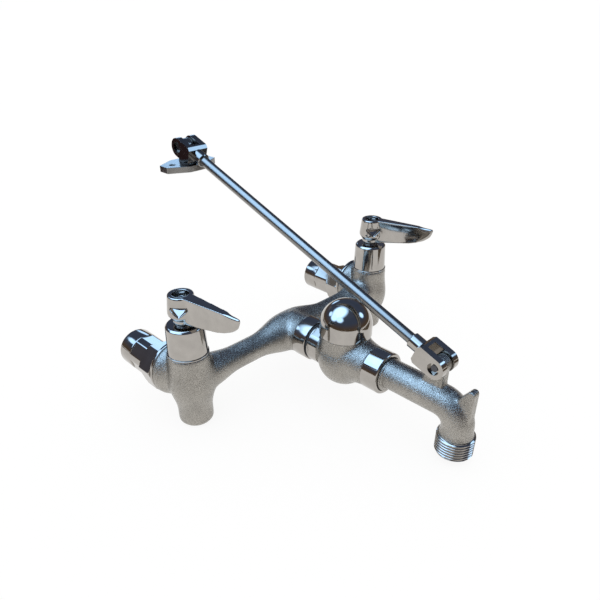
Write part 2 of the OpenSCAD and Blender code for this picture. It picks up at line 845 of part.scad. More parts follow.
module hose_thread() {
    step = hose_pitch;
    rotate_extrude() polygon(concat(
        [[0, 0]],
        [for (i = [0 : hose_crests - 1]) each [
            [thread_root_r, i * step], [hose_thread_r, i * step + (step - thread_crest_w) / 2],
            [hose_thread_r, i * step + (step + thread_crest_w) / 2]
        ]],
        [[thread_root_r, thread_len], [spout_r + thread_collar_w / 2, thread_len],
         [spout_r + thread_collar_w / 2, thread_len + thread_collar_w], [0, thread_len + thread_collar_w]]
    ));
}

module spout_path(r) {
    straight_end = outlet_y + bend_r;
    translate([0, flange_y, spout_rise]) into_room() cylinder(r = r, h = flange_y - straight_end);
    translate([0, straight_end, spout_rise - bend_r]) rotate([90, 0, -90])
        rotate_extrude(angle = 90) translate([bend_r, 0]) circle(r = r);
    translate([0, outlet_y, thread_z]) cylinder(r = r, h = spout_rise - bend_r - thread_z);
}

module spout() {
    color(cast_chrome) difference() {
        union() {
            translate([0, flange_y, nut_rise]) into_room() cylinder(r = spout_flange_r, h = spout_flange_t);
            translate([0, flange_y, nut_rise])
                into_room() cylinder(r = spout_step_r, h = flange_y - nut_y + spout_step_len);
            spout_path(spout_r);
            translate([0, outlet_y, thread_z]) hose_thread();
            side_profile(lug_t) lug_profile();
            translate([0, lower_pin_y, pin_rise]) to_right() cylinder(r = lug_r, h = lug_t, center = true);
            side_profile(hook_t) hook_profile();
        }
        spout_path(spout_bore_r);
        translate([0, flange_y, spout_rise])
            rotate([-90, 0, 0]) cylinder(r = spout_bore_r, h = over, center = true);
        translate([0, outlet_y, thread_z - over]) cylinder(r = spout_bore_r, h = 2 * over);
        translate([0, lower_pin_y, pin_rise])
            to_right() cylinder(r = pin_r + run_gap, h = lug_t + 2 * over, center = true);
    }
}

// Wall brace
// Places a shape that is drawn with its pin at the origin and its rod along +Y
module at_lower_pin() { translate([0, lower_pin_y, pin_rise]) rotate([brace_deg, 0, 0]) children(); }
module at_upper_pin() { translate([0, upper_pin_y, upper_pin_z])
    rotate([brace_deg + 180, 0, 0]) children(); }

module clevis_profile() {
    half_h = clevis_h / 2;
    flat_end = clevis_len - clevis_corner;
    polygon([
        [0, -half_h], [flat_end, -half_h], [clevis_len, -half_h + clevis_corner],
        [clevis_len, half_h - clevis_corner], [flat_end, half_h], [0, half_h]
    ]);
}

module clevis() {
    difference() {
        union() {
            to_right() cylinder(r = clevis_eye_r, h = clevis_w, center = true);
            side_profile(clevis_w) clevis_profile();
            translate([0, clevis_len - over, 0]) into_wall() rotate_extrude() polygon([
                [0, 0], [sleeve_r, 0], [sleeve_r, sleeve_len + over - sleeve_chamfer],
                [sleeve_r - sleeve_chamfer, sleeve_len + over], [0, sleeve_len + over]
            ]);
        }
        translate([-slot_w / 2, -clevis_h, -clevis_h]) cube([slot_w, clevis_h + slot_depth, 2 * clevis_h]);
        to_right() cylinder(r = pin_r + run_gap, h = clevis_w + 2 * over, center = true);
        translate([-clevis_w / 2 - over, 0, 0]) to_right() cylinder(r = head_r, h = head_recess + over);
        translate([0, clevis_len + sleeve_len - rod_insert, 0])
            into_wall() cylinder(r = rod_r + run_gap, h = rod_insert + over);
    }
}

module clevis_pin() {
    to_right() {
        translate([0, 0, -clevis_w / 2 + head_recess - stub_out])
            cylinder(r = pin_r, h = clevis_w - head_recess + stub_out + over);
        translate([0, 0, clevis_w / 2]) cylinder(r = head_out_r, h = head_out_t);
    }
}

module lower_clevis() { color(bright_chrome) at_lower_pin() clevis(); }
module lower_pin() { color(steel_tone) at_lower_pin() clevis_pin(); }
module upper_clevis() { color(bright_chrome) at_upper_pin() clevis(); }
module upper_pin() { color(steel_tone) at_upper_pin() clevis_pin(); }

module brace_rod() {
    start = clevis_len + sleeve_len - rod_insert + free_gap;
    color(bright_chrome) at_lower_pin() translate([0, start, 0])
        into_wall() cylinder(r = rod_r, h = brace_len - 2 * start);
}

// Wall bracket, hanging from the upper pin with its plate level
module plate_outline() {
    polygon([
        [-plate_len / 2, -plate_end_w / 2],
        [-bracket_web_w / 2, -plate_w / 2], [bracket_web_w / 2, -plate_w / 2],
        [plate_len / 2, -plate_end_w / 2], [plate_len / 2, plate_end_w / 2], [bracket_web_w / 2, plate_w / 2],
        [-bracket_web_w / 2, plate_w / 2], [-plate_len / 2, plate_end_w / 2]
    ]);
}

module wall_bracket() {
    color(bright_chrome) translate([0, upper_pin_y, upper_pin_z]) difference() {
        union() {
            translate([0, 0, -plate_standoff - plate_t]) linear_extrude(plate_t) plate_outline();
            side_profile(lug_t) polygon([
                [-bracket_web_w / 2, -plate_standoff - over], [bracket_web_w / 2, -plate_standoff - over],
                [bracket_eye_r, 0], [-bracket_eye_r, 0]
            ]);
            to_right() cylinder(r = bracket_eye_r, h = lug_t, center = true);
        }
        to_right() cylinder(r = pin_r + run_gap, h = lug_t + 2 * over, center = true);
        for (side = [-1, 1])
            translate([side * screw_spacing / 2, 0, -plate_standoff - plate_t - over])
                cylinder(r = screw_r, h = plate_t + 2 * over);
    }
}

module left_bonnet() { bonnet(-1); }
module right_bonnet() { bonnet(1); }
module left_bonnet_ring() { bonnet_ring(-1); }
module right_bonnet_ring() { bonnet_ring(1); }
module left_cartridge() { cartridge(-1); }
module right_cartridge() { cartridge(1); }
module left_spindle() { spindle(-1); }
module right_spindle() { spindle(1); }
module left_handle() { handle(-1, left_lever_deg); }
module right_handle() { handle(1, right_lever_deg); }
module left_handle_screw() { handle_screw(-1); }
module right_handle_screw() { handle_screw(1); }
module left_inlet() { inlet(-1, left_offset_deg); }
module right_inlet() { inlet(1, right_offset_deg); }
module left_inlet_seal() { inlet_seal(-1); }
module right_inlet_seal() { inlet_seal(1); }
module left_inlet_clip() { inlet_clip(-1); }
module right_inlet_clip() { inlet_clip(1); }
module left_stop_screw() { stop_screw(-1); }
module right_stop_screw() { stop_screw(1); }
module left_stop_washer() { stop_washer(-1); }
module right_stop_washer() { stop_washer(1); }

yoke_body();
yoke_gasket();
left_bonnet();
right_bonnet();
left_bonnet_ring();
right_bonnet_ring();
left_cartridge();
right_cartridge();
left_spindle();
right_spindle();
left_handle();
right_handle();
left_handle_screw();
right_handle_screw();
left_inlet();
right_inlet();
left_inlet_seal();
right_inlet_seal();
left_inlet_clip();
right_inlet_clip();
left_stop_screw();
right_stop_screw();
left_stop_washer();
right_stop_washer();
breaker_body();
breaker_cap();
breaker_air_seat();
breaker_float();
breaker_float_seal();
spout_nut();
spout_washer();
spout();
lower_clevis();
lower_pin();
brace_rod();
upper_clevis();
upper_pin();
wall_bracket();
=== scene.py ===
"""Looks of a wall-mounted service sink faucet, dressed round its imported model."""

import math

import bmesh
import bpy
import numpy as np
from mathutils import Matrix, Vector


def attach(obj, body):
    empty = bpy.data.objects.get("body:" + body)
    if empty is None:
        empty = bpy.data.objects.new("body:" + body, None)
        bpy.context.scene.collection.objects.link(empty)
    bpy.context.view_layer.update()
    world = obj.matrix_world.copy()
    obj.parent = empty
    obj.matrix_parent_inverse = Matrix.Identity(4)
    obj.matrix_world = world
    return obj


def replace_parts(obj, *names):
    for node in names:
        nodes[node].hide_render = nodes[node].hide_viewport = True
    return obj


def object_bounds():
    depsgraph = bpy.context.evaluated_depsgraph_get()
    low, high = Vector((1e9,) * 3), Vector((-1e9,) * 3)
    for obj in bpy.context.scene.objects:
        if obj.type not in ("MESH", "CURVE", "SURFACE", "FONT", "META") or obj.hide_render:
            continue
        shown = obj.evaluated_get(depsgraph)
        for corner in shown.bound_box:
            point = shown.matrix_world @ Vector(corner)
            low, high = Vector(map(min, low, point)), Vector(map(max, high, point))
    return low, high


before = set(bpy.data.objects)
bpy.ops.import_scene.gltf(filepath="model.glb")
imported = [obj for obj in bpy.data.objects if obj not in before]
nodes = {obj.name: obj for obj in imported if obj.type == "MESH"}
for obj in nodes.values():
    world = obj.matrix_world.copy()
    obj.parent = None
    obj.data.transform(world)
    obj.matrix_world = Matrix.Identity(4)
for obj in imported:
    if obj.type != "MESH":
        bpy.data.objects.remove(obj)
cad_low, cad_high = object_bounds()

MM = 0.001

# Camera of the photograph: place in millimetres, angles in degrees, focal length and
# principal point in pixels of the 600 pixel frame
PHOTO_PX = 600
CAMERA_MM = (-276.86, -355.87, 234.91)
CAMERA_AZIMUTH, CAMERA_ELEVATION, CAMERA_ROLL = 45.06, 32.61, -0.31
FOCAL_PX = 550.68
PRINCIPAL_PX = (301.98, 347.74)
SENSOR_MM = 36

# Finishes, as linear colours
CHROME = (0.43, 0.405, 0.375)
CAST = (0.43, 0.405, 0.365)
# Darker casting colour for the lows of the grain: partly grain tone, partly painted shade in the pits
CAST_GRAIN_AND_PIT_SHADE = (0.27, 0.255, 0.23)
# Steel for the pins, darkened to paint the shade of the counterbored recesses they sit in
PIN_STEEL_PAINTED_SHADE = (0.10, 0.10, 0.11)
STEEL = (0.46, 0.45, 0.44)
DIM_CHROME = (0.27, 0.26, 0.245)
BRASS = (0.62, 0.45, 0.20)
RUBBER = (0.018, 0.018, 0.02)
PLASTIC = (0.80, 0.80, 0.77)


# Node helpers
def node(tree, kind, settings=None, **inputs):
    made = tree.nodes.new(kind)
    for name, value in (settings or {}).items():
        setattr(made, name, value)
    for name, value in inputs.items():
        socket = made.inputs[name.replace("_", " ")]
        if isinstance(value, bpy.types.NodeSocket):
            tree.links.new(value, socket)
        else:
            socket.default_value = value
    return made


def empty_material(name):
    mat = bpy.data.materials.new(name)
    mat.use_nodes = True
    mat.node_tree.nodes.clear()
    return mat, mat.node_tree


def material(name, metallic):
    mat, tree = empty_material(name)
    shader = node(tree, "ShaderNodeBsdfPrincipled", Metallic=metallic)
    node(tree, "ShaderNodeOutputMaterial", Surface=shader.outputs["BSDF"])
    return mat, tree, shader


def object_space(tree):
    return node(tree, "ShaderNodeTexCoord").outputs["Object"]


def noise(tree, vector, size_mm, detail=3):
    made = node(tree, "ShaderNodeTexNoise", Vector=vector, Scale=1 / (size_mm * MM), Detail=detail)
    return made.outputs["Fac"]


def ramp(tree, value, low, high, low_at=0.3, high_at=0.7):
    made = node(tree, "ShaderNodeMapRange", Value=value, From_Min=low_at, From_Max=high_at,
                To_Min=low, To_Max=high)
    return made.outputs["Result"]


def tint(tree, value, dark, light):
    made = node(tree, "ShaderNodeMix", {"data_type": "RGBA"})
    tree.links.new(value, made.inputs["Factor"])
    for socket in made.inputs:
        if socket.type == "RGBA":
            socket.default_value = (*(dark if socket.name == "A" else light), 1)
    return next(socket for socket in made.outputs if socket.type == "RGBA")


def bump(tree, height, depth_mm, strength, below=None):
    made = node(tree, "ShaderNodeBump", Height=height, Strength=strength, Distance=depth_mm * MM)
    if below is not None:
        tree.links.new(below, made.inputs["Normal"])
    return made.outputs["Normal"]


def mixed(tree, share, first, second):
    mix = node(tree, "ShaderNodeMixShader")
    for source, socket in zip((share, first.outputs[0], second.outputs[0]), mix.inputs):
        tree.links.new(source, socket)
    return mix.outputs[0]


def grey(level):
    return (level, level, level, 1)


# Materials
def cast_metal(name, light, dark, grain_mm=0.62, depth_mm=0.18, blotch_mm=14, rough=(0.18, 0.33)):
    """Plated casting with a sandy skin: bright grains between darker pits. The darker colour follows
    the lows of the same noise that raises the bump, so it is painted shade in the pits over the grain's
    own tone.
    """
    mat, tree, shader = material(name, 1.0)
    at = object_space(tree)
    pits = node(tree, "ShaderNodeTexVoronoi", {"feature": "F1"}, Vector=at, Scale=1 / (grain_mm * MM))
    blotches = noise(tree, at, blotch_mm, 4)
    grain = noise(tree, at, grain_mm)
    # The lows of the grain noise, which are also the lows of the bump, take the darker colour: painted
    # shade in the pits over the grain's own tone
    skin = tint(tree, ramp(tree, grain, 0.0, 1.0, 0.38, 0.62), dark, light)
    patchy = node(tree, "ShaderNodeHueSaturation", Color=skin, Value=ramp(tree, blotches, 0.88, 1.10))
    tree.links.new(patchy.outputs["Color"], shader.inputs["Base Color"])
    tree.links.new(ramp(tree, grain, *rough), shader.inputs["Roughness"])
    rough_normal = bump(tree, pits.outputs["Distance"], depth_mm, 0.6)
    tree.links.new(bump(tree, grain, depth_mm * 2, 0.9, rough_normal), shader.inputs["Normal"])
    return mat


def even_skin(tree, shader, pattern, colour, dark_share, rough):
    """Lets colour and roughness follow one pattern."""
    dark = tuple(channel * dark_share for channel in colour)
    tree.links.new(tint(tree, ramp(tree, pattern, 0.0, 1.0), dark, colour), shader.inputs["Base Color"])
    tree.links.new(ramp(tree, pattern, *rough), shader.inputs["Roughness"])


def bright_metal(name, colour, rough=(0.05, 0.11), smudge_mm=7, wave_mm=9, wave_depth_mm=0.02):
    """Polished plating with faint smudges and a slightly wavy face."""
    mat, tree, shader = material(name, 1.0)
    at = object_space(tree)
    even_skin(tree, shader, noise(tree, at, smudge_mm, 4), colour, 0.88, rough)
    wave = noise(tree, at, wave_mm, 1)
    tree.links.new(bump(tree, wave, wave_depth_mm, 1.0), shader.inputs["Normal"])
    return mat


def satin_metal(name, colour, rough=(0.2, 0.34), grain_mm=0.9):
    """Machined metal with a fine grain."""
    mat, tree, shader = material(name, 1.0)
    grain = noise(tree, object_space(tree), grain_mm)
    even_skin(tree, shader, grain, colour, 0.8, rough)
    tree.links.new(bump(tree, grain, 0.02, 0.5), shader.inputs["Normal"])
    return mat


def dull(name, colour, rough, speckle_mm=1.5):
    """Rubber and plastic."""
    mat, tree, shader = material(name, 0.0)
    speckle = noise(tree, object_space(tree), speckle_mm)
    even_skin(tree, shader, speckle, colour, 0.75, (rough * 0.85, rough))
    tree.links.new(bump(tree, speckle, 0.03, 0.4), shader.inputs["Normal"])
    return mat


FINISH = {
    "cast": cast_metal("rough_plated_casting", CAST, CAST_GRAIN_AND_PIT_SHADE),
    "chrome": bright_metal("polished_plating", CHROME),
    "dim_chrome": bright_metal("dim_plating", DIM_CHROME, (0.07, 0.14)),
    "turned": satin_metal("turned_plating", CHROME, (0.08, 0.16)),
    "drawn": satin_metal("drawn_steel", DIM_CHROME, (0.2, 0.3)),
    "steel": satin_metal("turned_steel", STEEL),
    # Darkened steel: painted shade of the pin recesses
    "pin_steel_painted_shade": satin_metal("pin_steel_painted_shade", PIN_STEEL_PAINTED_SHADE),
    "brass": satin_metal("machined_brass", BRASS),
    "rubber": dull("black_rubber", RUBBER, 0.7),
    "plastic": dull("white_plastic", PLASTIC, 0.45),
}


# Mesh helpers
WELD_MM = 0.002
EDGE_MM, EDGE_DEG = 0.4, 35
SHARP_DEG = 32


def paint(piece, finish):
    piece.data.materials.clear()
    piece.data.materials.append(FINISH[finish])


def dress(name, finish):
    """Gives a CAD node its finish and rolls its sharp edges a little."""
    piece = nodes[name]
    paint(piece, finish)
    weld = piece.modifiers.new("weld", "WELD")
    weld.merge_threshold = WELD_MM * MM
    edge = piece.modifiers.new("edges", "BEVEL")
    edge.width = EDGE_MM * MM
    edge.segments = 3
    edge.limit_method = "ANGLE"
    edge.angle_limit = math.radians(EDGE_DEG)
    edge.harden_normals = False
    piece.data.shade_smooth()
    normals = piece.modifiers.new("normals", "WEIGHTED_NORMAL")
    normals.keep_sharp = False


def add_object(name, data):
    made = bpy.data.objects.new(name, data)
    bpy.context.scene.collection.objects.link(made)
    return made


def finished(name, mesh, body, finish, sharp_deg=SHARP_DEG):
    """Makes a new piece of a bmesh."""
    bmesh.ops.recalc_face_normals(mesh, faces=mesh.faces)
    data = bpy.data.meshes.new(name)
    mesh.to_mesh(data)
    mesh.free()
    data.shade_smooth()
    data.set_sharp_from_angle(angle=math.radians(sharp_deg))
    piece = add_object(name, data)
    paint(piece, finish)
    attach(piece, body)
    return piece


def voxel_copy(node_name, piece_name, voxel_mm):
    """Copies a CAD node as one mesh of even quads."""
    piece = add_object(piece_name, nodes[node_name].data.copy())
    work = bmesh.new()
    work.from_mesh(piece.data)
    bmesh.ops.remove_doubles(work, verts=work.verts, dist=WELD_MM * MM)
    work.to_mesh(piece.data)
    work.free()
    remesh = piece.modifiers.new("voxels", "REMESH")
    remesh.mode = "VOXEL"
    remesh.voxel_size = voxel_mm * MM
    graph = bpy.context.evaluated_depsgraph_get()
    graph.update()
    mesh = bpy.data.meshes.new_from_object(piece.evaluated_get(graph))
    piece.modifiers.clear()
    piece.data = mesh
    return piece


def stand_for(piece, node_name, body, finish):
    piece.data.shade_smooth()
    paint(piece, finish)
    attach(piece, body)
    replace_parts(piece, node_name)


def read_points(mesh):
    points = np.empty(len(mesh.vertices) * 3)
    mesh.vertices.foreach_get("co", points)
    return points.reshape(-1, 3)


def write_points(mesh, points):
    mesh.vertices.foreach_set("co", points.ravel())
    mesh.update()


def vertex_normals(points, faces):
    corner = points[faces]
    across = np.cross(corner[:, 2] - corner[:, 0], corner[:, 3] - corner[:, 1])
    normal = np.zeros_like(points)
    for index in range(4):
        for axis in range(3):
            normal[:, axis] += np.bincount(faces[:, index], across[:, axis], len(points))
    return normal / np.maximum(np.linalg.norm(normal, axis=1, keepdims=True), 1e-12)


MOVE_SHARE, NORMALS_EVERY = 0.6, 4


def soften(mesh, fill_rounds, smooth_rounds, weight):
    """Grows fillets in the hollows of a quad mesh, then smooths it, where weight says so."""
    points = read_points(mesh)
    count = len(points)
    ends = np.empty(len(mesh.edges) * 2, np.int32)
    mesh.edges.foreach_get("vertices", ends)
    ends = ends.reshape(-1, 2)
    faces = np.array([face.vertices[:] for face in mesh.polygons if len(face.vertices) == 4])
    share = weight(points / MM)[:, None]
    near = np.bincount(ends[:, 0], minlength=count) + np.bincount(ends[:, 1], minlength=count)
    for step in range(fill_rounds + smooth_rounds):
        mean = np.empty_like(points)
        for axis in range(3):
            total = np.bincount(ends[:, 0], points[ends[:, 1], axis], count)
            total += np.bincount(ends[:, 1], points[ends[:, 0], axis], count)
            mean[:, axis] = total / np.maximum(near, 1)
        move = (mean - points) * share
        if step < fill_rounds:
            if step % NORMALS_EVERY == 0:
                normal = vertex_normals(points, faces)
            out = (move * normal).sum(1, keepdims=True)
            move = np.maximum(out, 0) * normal
        points = points + MOVE_SHARE * move
    write_points(mesh, points)


def casting(node_name, piece_name, voxel_mm, fill_rounds, weight):
    """Makes a CAD casting again with soft fillets, and stands it for its node."""
    piece = voxel_copy(node_name, piece_name, voxel_mm)
    soften(piece.data, fill_rounds, smooth_rounds=8, weight=weight)
    stand_for(piece, node_name, "yoke", "cast")
    return piece


# How much of a profile's segment a rounded corner may take
CORNER_SHARE = 0.45


def rounded(profile, radius, steps=4):
    """Rounds the corners of an open profile of (radius, height) points."""
    points = [Vector(point) for point in profile]
    made = [points[0]]
    for before, corner, after in zip(points, points[1:], points[2:]):
        reach = min(radius, (corner - before).length * CORNER_SHARE,
                    (after - corner).length * CORNER_SHARE)
        start = corner + (before - corner).normalized() * reach
        end = corner + (after - corner).normalized() * reach
        for step in range(steps + 1):
            share = step / steps
            made.append(start.lerp(corner, share).lerp(corner.lerp(end, share), share))
    return [tuple(point) for point in made + [points[-1]]]


SIXTH = math.tau / 6
TURN_FRAMES = {
    "up": Matrix.Identity(3),
    "into_wall": Matrix(((1, 0, 0), (0, 0, 1), (0, -1, 0))),
    "into_room": Matrix(((1, 0, 0), (0, 0, -1), (0, 1, 0))),
}


def lathe(name, profile, at_mm, along, body, turns, flat=None, twist_deg=0, finish="chrome"):
    """Turns a profile of (radius, height) points, in millimetres.

    Six flats at the distance flat from the axis cut it, turned by twist_deg.
    """
    mesh = bmesh.new()
    turn = TURN_FRAMES[along]
    twist = math.radians(twist_deg)
    rings = []
    for radius, height in profile:
        if radius < 1e-6:
            rings.append([mesh.verts.new(turn @ Vector((0, 0, height)))])
            continue
        ring = []
        for step in range(turns):
            angle = math.tau * step / turns
            reach = radius
            if flat is not None:
                reach = min(radius, flat / math.cos((angle - twist) % SIXTH - SIXTH / 2))
            place = Vector((reach * math.cos(angle), reach * math.sin(angle), height))
            ring.append(mesh.verts.new(turn @ place))
        rings.append(ring)
    for low, high in zip(rings, rings[1:]):
        for step in range(turns):
            after = (step + 1) % turns
            corners = [low[step % len(low)], low[after % len(low)],
                       high[after % len(high)], high[step % len(high)]]
            corners = list(dict.fromkeys(corners))
            if len(corners) > 2:
                mesh.faces.new(corners)
    for vert in mesh.verts:
        vert.co = (vert.co + Vector(at_mm)) * MM
    return finished(name, mesh, body, finish)


# Castings
VALVE_X, VALVE_Y = 101.6, -66.8
RING_Y, RING_W, RING_HALF_X = -98.0, 13.0, 30
BOSS_FACE_Y, BOSS_RIM_T = VALVE_Y + 19.3, 2.6
SEAT_Z, SEAT_T = 22.0, 1.6
BORE_CLEAR = 11.4
BREAKER_SEAT_Z, BREAKER_NECK_Y = 18.5, -108
SPOUT_FLANGE_Y, SPOUT_MOUTH_Z = -171, -16


def everywhere(points):
    return np.ones(len(points))


def soft_but(*machined):
    """Full weight, but none where a machined face lies."""
    return 1.0 - np.any(machined, axis=0)


def yoke_weight(points):
    """Keeps the turned ring, the flange rims, the bonnet seats and the bores as machined."""
    x, y, z = points.T
    across = np.abs(x) - VALVE_X
    return soft_but((y < RING_Y + RING_W) & (np.abs(x) < RING_HALF_X),
                    y > BOSS_FACE_Y - BOSS_RIM_T,
                    z > SEAT_Z - SEAT_T,
                    np.hypot(across, y - VALVE_Y) < BORE_CLEAR,
                    (np.hypot(across, z) < BORE_CLEAR) & (y > VALVE_Y))


def breaker_weight(points):
    return soft_but(points[:, 2] > BREAKER_SEAT_Z, points[:, 1] > BREAKER_NECK_Y)


def spout_weight(points):
    return soft_but(points[:, 1] > SPOUT_FLANGE_Y, points[:, 2] < SPOUT_MOUTH_Z)


THREAD_TOP_Z, THREAD_LOW_Z = -17.5, -33.0
THREAD_ROOT, THREAD_CREST, THREAD_PITCH = 12.2, 13.45, 2.209
THREAD_CORE, THREAD_COVER, THREAD_LAP, OUTLET_BORE = 12.0, 0.3, 0.5, 8.0
OUTLET_Y = -228.4
# How fast the flanks rise, and how the thread fades out at its ends
FLANK_LEVEL, FLANK_SLOPE = 1.45, 3.2
FADE_MM, LEAST_FADE = 0.8, 0.25


def make_castings():
    """The spout's core is drawn in where the thread covers it."""
    casting("yoke_body", "yoke_casting", voxel_mm=0.8, fill_rounds=90, weight=yoke_weight)
    casting("breaker_body", "breaker_casting", voxel_mm=0.6, fill_rounds=60, weight=breaker_weight)
    spout = casting("spout", "spout_casting", voxel_mm=0.5, fill_rounds=60, weight=spout_weight)
    for vert in spout.data.vertices:
        place = vert.co / MM
        if place.z > THREAD_TOP_Z + THREAD_COVER:
            continue
        out = Vector((place.x, place.y - OUTLET_Y))
        if out.length > THREAD_CORE:
            out *= THREAD_CORE / out.length
        height = max(place.z, THREAD_LOW_Z + THREAD_COVER)
        vert.co = Vector((out.x, out.y + OUTLET_Y, height)) * MM


def hose_thread(columns=120, rows_per_turn=10):
    """A true helix with flat crests that fades out at both ends."""
    tall = THREAD_TOP_Z - THREAD_LOW_Z
    rows = round(tall / THREAD_PITCH * rows_per_turn)
    mesh = bmesh.new()

    def ring(height, radius_at):
        made = []
        for step in range(columns):
            angle = math.tau * step / columns
            radius = radius_at(angle)
            place = (radius * math.cos(angle), OUTLET_Y + radius * math.sin(angle), height)
            made.append(mesh.verts.new(Vector(place) * MM))
        return made

    def tooth(height):
        fade = min(1, (height - THREAD_LOW_Z) / FADE_MM, (THREAD_TOP_Z - height) / FADE_MM)

        def radius_at(angle):
            phase = ((height - THREAD_LOW_Z) / THREAD_PITCH - angle / math.tau) % 1
            rise = min(1, max(0, FLANK_LEVEL - FLANK_SLOPE * abs(phase - 0.5)))
            return THREAD_ROOT + (THREAD_CREST - THREAD_ROOT) * rise * max(fade, LEAST_FADE)
        return radius_at

    rings = [ring(THREAD_LOW_Z, lambda angle: OUTLET_BORE)]
    rings += [ring(THREAD_LOW_Z + tall * row / rows, tooth(THREAD_LOW_Z + tall * row / rows))
              for row in range(rows + 1)]
    rings.append(ring(THREAD_TOP_Z, lambda angle: THREAD_CORE - THREAD_LAP))
    for low, high in zip(rings, rings[1:]):
        for step in range(columns):
            after = (step + 1) % columns
            mesh.faces.new((low[step], low[after], high[after], high[step]))
    finished("hose_thread", mesh, "yoke", "turned", 40)


RING_R, RING_BORE, PROUD, BAND_START = 16.8, 14.0, 0.1, 0.02
LIP_R, LIP_T, NECK_FLAT, NECK_LEN, NECK_BORE = 15.7, 1.4, 15.1, 10.0, 12.0
NECK_Y, NECK_TWIST = -99.7, 30


def make_bands():
    """Polished bands on the castings: the yoke's ring and the breaker's neck."""
    outer = RING_R + PROUD
    ring = [(RING_BORE, BAND_START), (outer, BAND_START), (outer, RING_W), (RING_BORE, RING_W)]
    lathe("yoke_ring_band", rounded(ring, 0.8), (0, RING_Y, 0), "into_wall", "yoke", 128)
    outer = LIP_R + PROUD
    lip = [(NECK_BORE, BAND_START), (outer, BAND_START), (outer, LIP_T), (NECK_BORE, LIP_T)]
    lathe("breaker_lip_band", rounded(lip, 0.4), (0, NECK_Y, 0), "into_room", "yoke", 128)
    neck = [(outer, LIP_T), (outer, NECK_LEN), (NECK_BORE, NECK_LEN)]
    lathe("breaker_neck_band", neck, (0, NECK_Y, 0), "into_room", "yoke", 120, NECK_FLAT + PROUD,
          NECK_TWIST)


# Handles
SIDE = {"left": -1, "right": 1}
LEVER_TURN = {"left": -84.8, "right": -75.0}
LEVER_TIP_FROM, LEVER_TIP_BLEND = 43, 6
HUB_Z, HUB_H, HUB_RECESS, HUB_SKIRT_R = 47.9, 20.6, 5.4, 10.4
POCKET_TURN, POCKET_Z, POCKET_W, POCKET_H, POCKET_D = -55, 10.6, 12.4, 7.4, 4.2
POCKET_DEEP_SHARE, POCKET_TAPER, POCKET_EDGE, POCKET_RIM, POCKET_TOP_SLOPE = 0.76, 0.7, 0.5, 0.6, 3


def press_pocket(piece, side_name):
    """Presses the diamond into the hub's side. Its floor is deepest at the top, so it faces up."""
    turn = math.radians(LEVER_TURN[side_name] + POCKET_TURN)
    out = np.array([math.cos(turn), math.sin(turn), 0])
    across = np.array([-out[1], out[0], 0])
    centre = np.array([SIDE[side_name] * VALVE_X, VALVE_Y, HUB_Z + POCKET_Z])
    points = read_points(piece.data) / MM - centre
    side, rise, depth = points @ across, points[:, 2], points @ out
    up_from_foot = rise + POCKET_H / 2
    half = POCKET_W / 2 * np.clip(up_from_foot / (POCKET_TAPER * POCKET_H), 0, 1)
    inside = np.clip((half - np.abs(side)) / POCKET_EDGE, 0, 1)
    inside *= np.clip((POCKET_H / 2 - rise) / POCKET_EDGE, 0, 1)
    inside *= np.clip(up_from_foot / POCKET_EDGE, 0, 1)
    share = rise / POCKET_H + 0.5
    deep = np.minimum(share, (1 - share) * POCKET_TOP_SLOPE) / POCKET_DEEP_SHARE
    floor = HUB_SKIRT_R - POCKET_RIM - POCKET_D * deep
    push = np.where(depth > HUB_SKIRT_R / 2, np.maximum(depth - floor, 0) * inside, 0)
    write_points(piece.data, (points - push[:, None] * out + centre) * MM)


def make_handle(side_name):
    """Rounds the forged handle: hub and lever run into each other, edges are soft."""
    node_name = side_name + "_handle"
    piece = voxel_copy(node_name, node_name + "_forging", voxel_mm=0.32)
    turn = math.radians(LEVER_TURN[side_name])
    valve_x = SIDE[side_name] * VALVE_X

    def tip(points):
        along = (points[:, 0] - valve_x) * math.cos(turn) + (points[:, 1] - VALVE_Y) * math.sin(turn)
        return np.clip((along - LEVER_TIP_FROM) / LEVER_TIP_BLEND, 0, 1)

    soften(piece.data, fill_rounds=14, smooth_rounds=8, weight=everywhere)
    soften(piece.data, fill_rounds=0, smooth_rounds=160, weight=tip)
    press_pocket(piece, side_name)
    soften(piece.data, fill_rounds=0, smooth_rounds=2, weight=everywhere)
    stand_for(piece, node_name, node_name, "chrome")


def make_handle_screw(side_name):
    """Domed screw head with a round socket, in the recess on top of the hub."""
    head = [(1.9, -8.0), (1.9, 0.0), (4.2, 0.0), (4.2, 1.2), (3.6, 2.0), (2.7, 2.5), (1.9, 2.6),
            (1.7, 1.4)]
    node_name = side_name + "_handle_screw"
    place = (SIDE[side_name] * VALVE_X, VALVE_Y, HUB_Z + HUB_H - HUB_RECESS)
    piece = lathe(node_name + "_head", [(0, -8.0)] + rounded(head, 0.4) + [(0, 1.3)], place, "up",
                  side_name + "_handle", 64, finish="steel")
    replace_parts(piece, node_name)


# Inlets
WALL_FACE_Y, FLANGE_Y, HEX_Y, FLATS_Y, COLLAR_Y = 0.0, -47.45, -44.85, -31.0, -14.0
INLET_OFFSET, INLET_TURN = 5.0, {"left": 185, "right": 225}
FLANGE_R, SPIGOT_R, SPIGOT_LEN, PASSAGE_R = 21.45, 10.0, 10.2, 7.0
COLLAR_R, PIPE_R, PIPE_CHAMFER = 14.7, 9.9, 0.8
INLET_HEX, INLET_HEX_R, INLET_FLATS, INLET_TWIST = 15.7, 17.5, 13.8, 12.2
HEX_SWELL, HEX_CHAMFER, HEX_SHOULDER = 0.7, 1.4, 0.6


